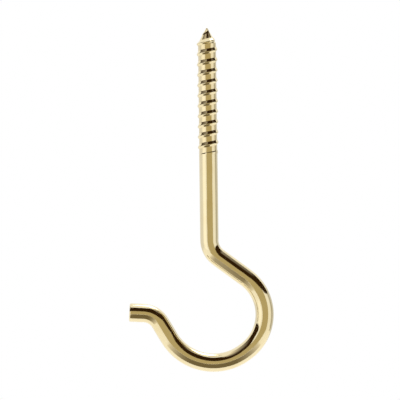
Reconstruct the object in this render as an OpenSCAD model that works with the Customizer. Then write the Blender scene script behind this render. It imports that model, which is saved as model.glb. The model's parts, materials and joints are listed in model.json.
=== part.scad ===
// Screw-in ceiling hook, bent from one length of round wire.
// The upper end is rolled to a right-hand wood-screw thread with a gimlet point.
// The lower end is an open hook: a swan neck, a round bowl and a lip that turns outwards.
// The shank stands on the Z axis and the hook lies in the XZ plane, with its mouth towards -X.
// The origin is on the axis where the thread ends and the plain shank begins.

/* [Wire] */
// Diameter of the round wire
wire_d = 4.3; // [3:0.1:6]
// Diameter that the wire loses where it is bent
draw_down = 0.04; // [0.02:0.01:0.2]
// Width of the chamfer round the cut end
end_chamfer = 0.3; // [0.1:0.05:0.8]

/* [Thread] */
// Length of the threaded end, with its point
thread_l = 30; // [16:0.5:60]
// Diameter over the crest of the thread
thread_d = 4.8; // [4.5:0.05:7]
// Diameter of the core between the turns
core_d = 3.9; // [2.4:0.05:4.2]
// Rise of the thread in one turn
pitch = 2.4; // [1.8:0.1:3.5]
// Width of the flat on the crest
crest_w = 0.2; // [0.1:0.05:0.4]
// Angle between the two flanks of the thread
flank_angle = 120; // [60:1:130]
// Length of the tapered point
point_l = 3.6; // [3:0.1:8]
// Length over which the thread runs out into the shank
runout_l = 2.4; // [0.5:0.1:5]

/* [Shank and neck] */
// Length of the plain shank between the thread and the neck bend
shank_l = 19.4; // [8:0.1:60]
// Radius of the neck bend, to the middle of the wire
neck_r = 5; // [4:0.1:12]
// Angle by which the neck bends away from the shank
neck_a = 53.2; // [40:0.1:60]
// Straight length between the neck bend and the bowl
neck_l = 7.95; // [4:0.05:20]

/* [Bowl and lip] */
// Radius of the back of the bowl, to the middle of the wire
back_r = 10.65; // [7:0.05:16]
// Angle of the arc at the back of the bowl
back_a = 107; // [90:0.1:120]
// Straight length between the back and the seat of the bowl
belly_l = 0.5; // [0.2:0.1:12]
// Radius of the seat of the bowl, to the middle of the wire
seat_r = 12.05; // [8:0.05:18]
// Angle of the arc at the seat of the bowl
seat_a = 95.9; // [80:0.1:110]
// Straight length between the bowl and the lip bend
rise_l = 4; // [2:0.05:12]
// Radius of the lip bend, to the middle of the wire
lip_r = 4.65; // [3.5:0.05:10]
// Angle by which the lip bends outwards
lip_a = 56.3; // [40:0.1:75]
// Straight length of the lip, up to its cut end
lip_l = 3.4; // [1:0.05:10]

/* [Hidden] */
$fn = 64;

// How far a straight run laps over the slightly thinner bend that it meets
lap = 0.05;

// The thread starts out of sight inside the shank, just under the surface of the wire
seat_depth = 0.05;
root_r = wire_d / 2 - seat_depth;

// How far its first turn lies below the end of the shank, which also sets where round the axis the turns lie
buried_l = 0.86;
start_z = -pitch - buried_l;

// One turn of the thread's profile, from the start of its root, which the flanks never close
root_min = 0.2;
thread_h = (thread_d - core_d) / 2;
flank_w = min(thread_h * tan(flank_angle / 2), (pitch - crest_w - root_min) / 2);
root_w = pitch - crest_w - 2 * flank_w;
profile_z = [0, root_w, root_w + flank_w, root_w + flank_w + crest_w];
profile_is_crest = [false, false, true, true];
corners = len(profile_z);

// The helix climbs in equal steps and stops just short of the blunted point
steps_per_turn = 28;
tip_gap = 0.25;
tip_blunt = 0.2;
fade_l = 1;
steps = floor((thread_l - tip_gap - pitch - start_z) / pitch * steps_per_turn);
last_crest_z = start_z + pitch * steps / steps_per_turn + root_w;

function clamped(share) = min(max(share, 0), 1);

// The groove and the thread both run out into the wire, and the thread fades before the point
function taper(z) = clamped((thread_l + tip_blunt - z) / (point_l + tip_blunt));
function runout(z) = clamped(z / runout_l);
function fade(z) = clamped((last_crest_z - z) / fade_l);

function core_radius(z) = taper(z) * (root_r + (core_d / 2 - root_r) * runout(z));
function crest_radius(z) = core_radius(z) + taper(z) * fade(z) * runout(z) * thread_h;

// The point of the helix at one step and one corner of the profile
function thread_point(step, corner) =
    let (angle = 360 * step / steps_per_turn)
    let (z = start_z + pitch * step / steps_per_turn + profile_z[corner])
    let (radius = profile_is_crest[corner] ? crest_radius(z) : core_radius(z))
    [radius * cos(angle), radius * sin(angle), z];

// A profile's last corner is the first corner of the turn above it
function index(step, corner) =
    corner == corners ? index(step + steps_per_turn, 0)
    : step <= steps ? step * corners + corner
    : steps * corners + corners + step - steps - 1;

// Core, thread and point in one closed skin
module threaded_end() {
    top_turn = [for (step = [steps + 1 : steps + steps_per_turn]) thread_point(step, 0)];
    points = concat(
        [for (step = [0 : steps], corner = [0 : corners - 1]) thread_point(step, corner)],
        top_turn,
        [[0, 0, start_z - buried_l], [0, 0, thread_l]]
    );
    tip = len(points) - 1;
    base = tip - 1;
    flanks = [
        for (step = [0 : steps - 1], corner = [0 : corners - 1])
        let (low = index(step, corner), high = index(step, corner + 1))
        let (next_low = index(step + 1, corner), next_high = index(step + 1, corner + 1))
        each [[low, high, next_high], [low, next_high, next_low]]
    ];
    base_fan = [for (step = [0 : steps_per_turn - 1]) [index(step, 0), index(step + 1, 0), base]];
    base_wall = [for (corner = [0 : corners - 1]) [index(0, corner + 1), index(0, corner), base]];
    tip_fan = [
        for (step = [steps : steps + steps_per_turn - 1]) [index(step, 0), tip, index(step + 1, 0)]
    ];
    tip_wall = [for (corner = [0 : corners - 1]) [index(steps, corner), index(steps, corner + 1), tip]];
    polyhedron(points, concat(flanks, base_fan, base_wall, tip_fan, tip_wall));
}

// A straight run of wire down from the origin, lapped over the bends at its ends, and what follows it
module wire_run(length, top_lap = lap, end_lap = lap) {
    translate([0, 0, -length]) {
        translate([0, 0, -end_lap]) cylinder(h = length + top_lap + end_lap, d = wire_d);
        children();
    }
}

// A bend in a wire that comes down to the origin, towards +X for a positive angle, and what follows it
module wire_bend(radius, angle) {
    side = sign(angle);
    translate([side * radius, 0, 0]) {
        rotate([90, 0, 0])
            rotate_extrude(angle = abs(angle), start = side > 0 ? 180 : angle)
                translate([radius, 0]) circle(d = wire_d - draw_down);
        rotate([0, -angle, 0]) translate([-side * radius, 0, 0]) children();
    }
}

// The sheared end of the wire, with its edge taken off
module cut_end() {
    translate([0, 0, -end_chamfer])
        cylinder(h = end_chamfer, d1 = wire_d - 2 * end_chamfer, d2 = wire_d);
}

// The whole hook, followed along the wire from the thread down
module screw_hook() {
    color("#d8b36a") {
        threaded_end();
        wire_run(shank_l, top_lap = 0)
            wire_bend(neck_r, neck_a)
            wire_run(neck_l)
            wire_bend(back_r, -back_a)
            wire_run(belly_l)
            wire_bend(seat_r, -seat_a)
            wire_run(rise_l)
            wire_bend(lip_r, lip_a)
            wire_run(lip_l - end_chamfer, end_lap = 0)
            cut_end();
    }
}

screw_hook();
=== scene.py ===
import json
import math

import bmesh
import bpy
from mathutils import Matrix, Vector


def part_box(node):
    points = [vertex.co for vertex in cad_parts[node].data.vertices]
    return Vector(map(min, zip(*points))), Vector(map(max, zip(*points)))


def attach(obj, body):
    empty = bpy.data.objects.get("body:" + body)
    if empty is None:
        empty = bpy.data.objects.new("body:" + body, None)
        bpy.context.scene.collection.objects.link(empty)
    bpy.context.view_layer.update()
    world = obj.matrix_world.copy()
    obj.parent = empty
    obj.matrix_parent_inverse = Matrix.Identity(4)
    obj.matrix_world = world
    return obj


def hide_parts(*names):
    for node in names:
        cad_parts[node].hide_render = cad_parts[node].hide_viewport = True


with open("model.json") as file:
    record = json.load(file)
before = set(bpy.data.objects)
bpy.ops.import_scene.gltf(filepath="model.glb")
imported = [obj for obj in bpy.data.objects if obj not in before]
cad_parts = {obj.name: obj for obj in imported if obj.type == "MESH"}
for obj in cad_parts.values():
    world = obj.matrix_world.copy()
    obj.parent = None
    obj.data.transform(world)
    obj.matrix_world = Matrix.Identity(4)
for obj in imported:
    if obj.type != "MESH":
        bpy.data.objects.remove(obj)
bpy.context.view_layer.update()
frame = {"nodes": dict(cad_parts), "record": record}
print("frame loaded:", sorted(frame["nodes"]))

mm = 0.001
mounts = {mount["name"]: mount for mount in frame["record"]["mounts"]}
shankSize = mounts["shank"]["dims"]
hookLow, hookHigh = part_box("screw_hook")
hookMiddle = (hookLow + hookHigh) / 2
hookHeight = hookHigh.z - hookLow.z


# Colours are written as sRGB hex and handed to the shaders as linear values
def linearColor(hexText):
    channels = [int(hexText[start:start + 2], 16) / 255 for start in (1, 3, 5)]
    return [c / 12.92 if c <= 0.04045 else ((c + 0.055) / 1.055) ** 2.4 for c in channels] + [1.0]


# Adds one node: inputs holds plain values, or the output socket that feeds the input
def addNode(tree, kind, inputs=None, **settings):
    node = tree.nodes.new(kind)
    for name, value in settings.items():
        setattr(node, name, value)
    for name, value in (inputs or {}).items():
        if isinstance(value, bpy.types.NodeSocket):
            tree.links.new(value, node.inputs[name])
        else:
            node.inputs[name].default_value = value
    return node


def emptyTree(owner):
    owner.use_nodes = True
    owner.node_tree.nodes.clear()
    return owner.node_tree


def meshObject(name, bm, material):
    mesh = bpy.data.meshes.new(name)
    bm.to_mesh(mesh)
    bm.free()
    mesh.materials.append(material)
    made = bpy.data.objects.new(name, mesh)
    bpy.context.scene.collection.objects.link(made)
    return made


# Holds a value between 0 and 1
def heldShare(value):
    return min(max(value, 0), 1)


# Eases in and out between 0 and 1
def smoothShare(value):
    share = heldShare(value)
    return share * share * (3 - 2 * share)


# Wire of the hook, in mm and degrees, followed from the thread down
hookWire = {
    "radius": shankSize["r_mm"],
    "bentRadius": 2.13,  # bending thins the wire a little
    "thinning": 0.8,  # length over which it does
    "sides": 64,
    "bendStep": 2.5,  # degrees between two rings in a bend
    "shank": shankSize["length_mm"],
    "neckBend": (5, 53.2),  # radius to the middle of the wire, angle towards +X
    "neck": 7.95,
    "backBend": (10.65, -107),
    "belly": 0.5,
    "seatBend": (12.05, -95.9),
    "rise": 4,
    "lipBend": (4.65, 56.3),
    "lip": 3.4,
    "endRound": 0.3,
    "endSegments": 4,
}


# The wire grows ring by ring, so that each point also knows its place on the straight wire.
# Gives back the edges of its first ring and of its last
def bendWire(bm, straight):
    wire = hookWire
    place = Vector((0, 0, 0))
    heading = 0.0
    along = 0.0
    ring = bmesh.ops.create_circle(bm, segments=wire["sides"], radius=wire["radius"])["verts"]
    edges = list(bm.edges)
    firstEdges = list(edges)

    def sideways():
        return Vector((math.cos(heading), 0, math.sin(heading)))

    def ahead():
        return Vector((math.sin(heading), 0, -math.cos(heading)))

    def markRing():
        for v in ring:
            across = v.co - place
            v[straight] = Vector((across.dot(sideways()), across.y, along)) * mm

    def grow(step, centre=None, angle=0.0):
        nonlocal ring, edges, place, heading, along
        made = bmesh.ops.spin(
            bm, geom=edges, cent=centre or place, axis=(0, -1, 0), angle=angle,
            dvec=(0, 0, 0) if centre else ahead() * step, steps=1, use_duplicate=False,
        )["geom_last"]
        ring = [part for part in made if isinstance(part, bmesh.types.BMVert)]
        edges = [part for part in made if isinstance(part, bmesh.types.BMEdge)]
        place = sum((v.co for v in ring), Vector()) / len(ring)
        heading += angle
        along -= step
        markRing()

    def resize(ratio):
        bmesh.ops.scale(bm, vec=(ratio,) * 3, space=Matrix.Translation(-place), verts=ring)

    def bend(radius, degrees):
        angle = math.radians(degrees)
        centre = place + sideways() * math.copysign(radius, angle)
        rows = math.ceil(abs(degrees) / wire["bendStep"])
        for _ in range(rows):
            grow(radius * abs(angle) / rows, centre, angle / rows)

    thinner = wire["bentRadius"] / wire["radius"]

    def runToBend(length):
        grow(length - wire["thinning"])
        grow(wire["thinning"])
        resize(thinner)

    def runFromBend(length):
        grow(wire["thinning"])
        resize(1 / thinner)
        grow(length - wire["thinning"])

    def runBetweenBends(length):
        runFromBend(length / 2)
        runToBend(length / 2)

    markRing()
    runToBend(wire["shank"])
    bend(*wire["neckBend"])
    runBetweenBends(wire["neck"])
    bend(*wire["backBend"])
    grow(wire["belly"])
    bend(*wire["seatBend"])
    runBetweenBends(wire["rise"])
    bend(*wire["lipBend"])
    runFromBend(wire["lip"])
    print("wire bent, end at", [round(x, 2) for x in place])
    return firstEdges, edges


# Sheared end, with its edge rounded by tumbling
def closeEnd(bm, edges):
    bmesh.ops.edgeloop_fill(bm, edges=edges)
    bmesh.ops.bevel(
        bm, geom=edges, offset=hookWire["endRound"], affect="EDGES",
        segments=hookWire["endSegments"], profile=0.5, material=-1,
    )


# Rolled wood-screw thread at the upper end, in mm and degrees
hookThread = {
    "length": hookHigh.z / mm,
    "outside": 4.8,
    "core": 4.2,
    "pitch": 2.4,
    "crest": 0.16,
    "upperFlank": 0.62,  # towards the point
    "lowerFlank": 0.4,
    "point": 3.6,
    "pointBlunt": 0.2,
    "runOut": 2.4,
    "frontCrest": 0.38,  # height of a crest where it passes the front
    "frontAngle": -90,
}


# Radius of the thread at one angle and height, and how deep in its groove that is
def threadRadius(angle, height):
    thread = hookThread
    coreRadius = thread["core"] / 2
    depth = thread["outside"] / 2 - coreRadius
    turned = (math.degrees(angle) - thread["frontAngle"]) / 360
    turns = (height - thread["frontCrest"]) / thread["pitch"] - turned
    above = (turns - round(turns)) * thread["pitch"]  # from the nearest crest
    flank = thread["upperFlank"] if above > 0 else thread["lowerFlank"]
    ridge = 1 - heldShare((abs(above) - thread["crest"] / 2) / flank)
    rolled = smoothShare(height / thread["runOut"])
    blunt = thread["pointBlunt"]
    taper = min((thread["length"] + blunt - height) / (thread["point"] + blunt), 1)
    core = hookWire["radius"] + (coreRadius - hookWire["radius"]) * rolled
    return taper * (core + depth * ridge * rolled), rolled * (1 - ridge)


# Threaded end, in rows a step of the helix high, so that a crest goes from corner to corner
def rollThread(bm, edges, straight, groove):
    length = hookThread["length"]
    rows = round(length * hookWire["sides"] / hookThread["pitch"])
    halfRow = length / rows / 2
    made = bmesh.ops.extrude_edge_only(bm, edges=edges)["geom"]
    top = [part for part in made if isinstance(part, bmesh.types.BMVert)]
    bmesh.ops.translate(bm, vec=(0, 0, length), verts=top)
    for v in top:
        v[straight] = v.co * mm
    risers = [edge for v in top for edge in v.link_edges if edge.other_vert(v) not in top]
    bmesh.ops.subdivide_edges(bm, edges=risers, cuts=rows - 1, use_grid_fill=True)
    tip = [v for v in bm.verts if v.co.z > length - halfRow]
    for v in bm.verts:
        if v[straight].z > 0:
            angle = math.atan2(v.co.y, v.co.x)
            radius, v[groove] = threadRadius(angle, v.co.z)
            v.co.x = radius * math.cos(angle)
            v.co.y = radius * math.sin(angle)
    bmesh.ops.pointmerge(bm, verts=tip, merge_co=(0, 0, length))
    print("thread rolled in", rows, "rows")


def buildHook(material):
    bm = bmesh.new()
    straight = bm.verts.layers.float_vector.new("straightWire")
    groove = bm.verts.layers.float.new("threadGroove")
    threadEdges, endEdges = bendWire(bm, straight)
    closeEnd(bm, endEdges)
    rollThread(bm, threadEdges, straight, groove)
    bmesh.ops.recalc_face_normals(bm, faces=bm.faces)
    bmesh.ops.scale(bm, vec=(mm,) * 3, verts=bm.verts)
    for face in bm.faces:
        face.smooth = True
    return meshObject("screwHook", bm, material)


# Brass wire, drawn and then tumbled bright: a pale yellow mirror with soft lengthwise draw lines
brassLook = {
    "bright": "#f2e6c2",
    "deep": "#ead9ab",
    # Painted shade: down in the thread's grooves the yellow is tinted towards this darker, deeper tone, by
    # this share at a groove's bottom
    "paintedGrooveShade": "#d9b566",
    "paintedShadeShare": 0.1,
    "roughness": (0.05, 0.12),
    "grooveRoughness": 0.03,  # added down in the thread
    "cloud": 3,  # mm across the patches of deeper yellow
    "cloudDetail": 3,
    "drawLine": 0.5,  # mm between draw lines, coarser than real ones so that they show
    "drawLength": 12,  # mm along one draw line
    "drawDepth": 0.012,  # mm
    "drawDetail": 2,
    "grain": 0.4,  # mm across the tumbling marks
    "grainDepth": 0.002,  # mm
    "grainDetail": 4,
}


def polishedBrass():
    look = brassLook
    material = bpy.data.materials.new("polishedBrass")
    tree = emptyTree(material)
    wire = addNode(tree, "ShaderNodeAttribute", attribute_name="straightWire")
    groove = addNode(tree, "ShaderNodeAttribute", attribute_name="threadGroove")
    place = addNode(tree, "ShaderNodeTexCoord")

    # The yellow is a little deeper in patches, and a painted shade darkens it down in the thread's grooves
    cloud = addNode(
        tree, "ShaderNodeTexNoise",
        {
            "Vector": place.outputs["Object"], "Scale": 1 / (look["cloud"] * mm),
            "Detail": look["cloudDetail"],
        },
    )
    yellow = addNode(
        tree, "ShaderNodeMixRGB",
        {
            "Fac": cloud.outputs["Fac"], "Color1": linearColor(look["deep"]),
            "Color2": linearColor(look["bright"]),
        },
    )
    # Painted shade: the groove depth sets how far the thread's roots are darkened
    paintedShadeShare = addNode(
        tree, "ShaderNodeMath", {0: groove.outputs["Fac"], 1: look["paintedShadeShare"]}, operation="MULTIPLY",
    )
    color = addNode(
        tree, "ShaderNodeMixRGB",
        {
            "Fac": paintedShadeShare.outputs["Value"], "Color1": yellow.outputs["Color"],
            "Color2": linearColor(look["paintedGrooveShade"]),
        },
    )

    # Draw lines follow the wire round its bends, tumbling marks lie all over it
    lineScale = 1 / (look["drawLine"] * mm)
    stretched = addNode(
        tree, "ShaderNodeMapping",
        {
            "Vector": wire.outputs["Vector"],
            "Scale": (lineScale, lineScale, 1 / (look["drawLength"] * mm)),
        },
    )
    drawLines = addNode(
        tree, "ShaderNodeTexNoise",
        {"Vector": stretched.outputs["Vector"], "Scale": 1.0, "Detail": look["drawDetail"]},
    )
    grain = addNode(
        tree, "ShaderNodeTexNoise",
        {
            "Vector": place.outputs["Object"], "Scale": 1 / (look["grain"] * mm),
            "Detail": look["grainDetail"],
        },
    )
    lines = addNode(
        tree, "ShaderNodeBump",
        {"Height": drawLines.outputs["Fac"], "Strength": 1.0, "Distance": look["drawDepth"] * mm},
    )
    marks = addNode(
        tree, "ShaderNodeBump",
        {
            "Height": grain.outputs["Fac"], "Strength": 1.0, "Distance": look["grainDepth"] * mm,
            "Normal": lines.outputs["Normal"],
        },
    )
    brightest, dullest = look["roughness"]
    polish = addNode(
        tree, "ShaderNodeMapRange",
        {"Value": grain.outputs["Fac"], "To Min": brightest, "To Max": dullest},
    )
    roughness = addNode(
        tree, "ShaderNodeMath",
        {0: groove.outputs["Fac"], 1: look["grooveRoughness"], 2: polish.outputs["Result"]},
        operation="MULTIPLY_ADD",
    )
    shader = addNode(
        tree, "ShaderNodeBsdfPrincipled",
        {
            "Base Color": color.outputs["Color"], "Metallic": 1.0,
            "Roughness": roughness.outputs["Value"], "Normal": marks.outputs["Normal"],
        },
    )
    addNode(tree, "ShaderNodeOutputMaterial", {"Surface": shader.outputs["BSDF"]})
    return material


hook = buildHook(polishedBrass())
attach(hook, "root")
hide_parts("screw_hook")
print("hook built:", len(hook.data.vertices), "points,", len(hook.data.polygons), "faces")


# Direction from the hook, with azimuth 0 towards the camera and 90 to the right
def towards(azimuth, elevation):
    turn = math.radians(azimuth)
    rise = math.radians(elevation)
    return Vector((math.sin(turn) * math.cos(rise), -math.cos(turn) * math.cos(rise), math.sin(rise)))


# Plain pale paper below the hook, clear of the picture's lower edge
floorSet = {"drop": 0.18, "radius": 1.5, "sides": 96, "tone": "#faf9f6", "roughness": 0.9}


def addFloor():
    material = bpy.data.materials.new("palePaper")
    tree = emptyTree(material)
    shader = addNode(
        tree, "ShaderNodeBsdfPrincipled",
        {"Base Color": linearColor(floorSet["tone"]), "Roughness": floorSet["roughness"]},
    )
    addNode(tree, "ShaderNodeOutputMaterial", {"Surface": shader.outputs["BSDF"]})
    bm = bmesh.new()
    disc = bmesh.ops.create_circle(
        bm, cap_ends=True, segments=floorSet["sides"], radius=floorSet["radius"],
    )["verts"]
    bmesh.ops.translate(bm, vec=(hookMiddle.x, 0, hookLow.z - floorSet["drop"]), verts=disc)
    meshObject("floor", bm, material)


# Cards bent round the hook are the studio that its polish mirrors, and nothing else shows them.
# Azimuths are in degrees, distances and heights in metres from the hook's middle
curtainTone = "#32200c"
hazeTone = "#fff8ec"  # a haze fades up to this
cardSteps = 24
cardSets = {
    "frontCurtain": {"azimuth": (-38, 58), "distance": 0.45, "height": (0.145, 0.3), "tone": curtainTone},
    "frontTop": {"azimuth": (-20, 58), "distance": 0.45, "height": (0.3, 1.1), "tone": curtainTone},
    "leftCurtain": {"azimuth": (-110, -38), "distance": 0.45, "height": (0.07, 0.3), "tone": curtainTone},
    "rightCurtain": {"azimuth": (58, 115), "distance": 0.45, "height": (0.145, 0.4), "tone": curtainTone},
    "leftHaze": {
        "azimuth": (-110, -20), "distance": 0.45, "height": (0.3, 1.1),
        "tone": curtainTone, "farTone": hazeTone,
    },
    "rightHaze": {
        "azimuth": (58, 115), "distance": 0.45, "height": (0.4, 1.1),
        "tone": curtainTone, "farTone": hazeTone,
    },
    "cameraCard": {"azimuth": (-25, 48), "distance": 0.6, "height": (-0.2, 0.22), "tone": "#bfb28a"},
    "leftWall": {"azimuth": (-160, -84), "distance": 0.6, "height": (-0.2, 0.1), "tone": "#ededf0"},
    "rightWall": {"azimuth": (84, 160), "distance": 0.6, "height": (-0.2, 0.2), "tone": "#dcdee2"},
    "rightPost": {"azimuth": (96, 114), "distance": 0.5, "height": (-0.2, 0.2), "tone": "#b4aea0"},
}

# A brown board lies low in front of the hook and pales from its plain middle towards its sides, in metres
boardSet = {
    "size": (0.46, 0.5), "columns": 12, "plain": 0.18, "front": 0.045, "drop": 0.2,
    "tone": "#786d54", "farTone": "#eee8dc",
}


# A card goes from its tone to its far tone, by the share that fade gives for each place on it
def addCard(name, bm, tones, fade):
    tone = tones["tone"]
    farTone = tones.get("farTone", tone)
    layer = bm.verts.layers.float.new("shade")
    for v in bm.verts:
        v[layer] = fade(v.co - hookMiddle)
    material = bpy.data.materials.new(name)
    tree = emptyTree(material)
    shade = addNode(tree, "ShaderNodeAttribute", attribute_name="shade")
    color = addNode(
        tree, "ShaderNodeMixRGB",
        {"Fac": shade.outputs["Fac"], "Color1": linearColor(tone), "Color2": linearColor(farTone)},
    )
    glow = addNode(tree, "ShaderNodeEmission", {"Color": color.outputs["Color"]})
    addNode(tree, "ShaderNodeOutputMaterial", {"Surface": glow.outputs["Emission"]})
    card = meshObject(name, bm, material)
    card.visible_camera = False
    card.visible_diffuse = False
    card.visible_shadow = False


def addBentCard(name, settings):
    first, last = settings["azimuth"]
    low, high = settings["height"]
    start = hookMiddle + towards(first, 0) * settings["distance"]
    bm = bmesh.new()
    ends = [bm.verts.new(start + Vector((0, 0, height))) for height in (low, high)]
    edge = bm.edges.new(ends)
    bmesh.ops.spin(
        bm, geom=[edge], cent=hookMiddle, axis=(0, 0, 1), angle=math.radians(last - first), steps=cardSteps,
    )
    addCard(name, bm, settings, lambda place: (place.z - low) / (high - low))


def addBoard():
    width, depth = boardSet["size"]
    plain = boardSet["plain"]
    bm = bmesh.new()
    board = bmesh.ops.create_grid(bm, x_segments=boardSet["columns"], y_segments=1, size=1)["verts"]
    bmesh.ops.scale(bm, vec=(width / 2, depth / 2, 1), verts=board)
    bmesh.ops.translate(
        bm, vec=hookMiddle - Vector((0, boardSet["front"] + depth / 2, boardSet["drop"])), verts=board,
    )
    addCard("darkBoard", bm, boardSet, lambda place: max(abs(place.x) * 2 - plain, 0) / (width - plain))


# Softboxes: aim is azimuth and elevation in degrees, distance and size are in metres.
# Glow is what a softbox adds in a mirror, where 1 is white
lampSets = {
    "leftSoftbox": {"aim": (-55, -4), "distance": 0.7, "size": (0.45, 0.42), "glow": 0.2},
    "skySoftbox": {"aim": (150, 62), "distance": 0.7, "size": (0.35, 0.35), "glow": 3.0},
}


def addLamp(name, settings):
    width, height = settings["size"]
    lamp = bpy.data.lights.new(name, "AREA")
    lamp.shape = "RECTANGLE"
    lamp.size = width
    lamp.size_y = height
    lamp.energy = settings["glow"] * math.pi * width * height
    out = towards(*settings["aim"])
    made = bpy.data.objects.new(name, lamp)
    made.location = hookMiddle + out * settings["distance"]
    made.rotation_euler = out.to_track_quat("Z", "Y").to_euler()
    bpy.context.scene.collection.objects.link(made)


# White all round, at the strength where white renders as white
worldSet = {"tone": "#ffffff", "strength": 1.0}


def addWorld():
    world = bpy.data.worlds.new("whiteStudio")
    bpy.context.scene.world = world
    tree = emptyTree(world)
    glow = addNode(
        tree, "ShaderNodeBackground",
        {"Color": linearColor(worldSet["tone"]), "Strength": worldSet["strength"]},
    )
    addNode(tree, "ShaderNodeOutputWorld", {"Surface": glow.outputs["Background"]})


# Long lens, straight at the front; the small roll leans the shank as in the photograph
cameraSet = {"distance": 0.9, "heightShare": 0.86, "roll": 0.7, "sensor": 36}


def addCamera():
    data = bpy.data.cameras.new("camera")
    data.sensor_width = cameraSet["sensor"]
    data.lens = cameraSet["sensor"] * cameraSet["distance"] * cameraSet["heightShare"] / hookHeight
    made = bpy.data.objects.new("camera", data)
    made.location = hookMiddle + towards(0, 0) * cameraSet["distance"]
    made.rotation_euler = (math.pi / 2, math.radians(cameraSet["roll"]), 0)
    bpy.context.scene.collection.objects.link(made)
    bpy.context.scene.camera = made


addFloor()
for cardName, cardSettings in cardSets.items():
    addBentCard(cardName, cardSettings)
addBoard()
for lampName, lampSettings in lampSets.items():
    addLamp(lampName, lampSettings)
addWorld()
addCamera()
bpy.context.scene.view_settings.view_transform = "Standard"
print("stage, lamps and camera set")
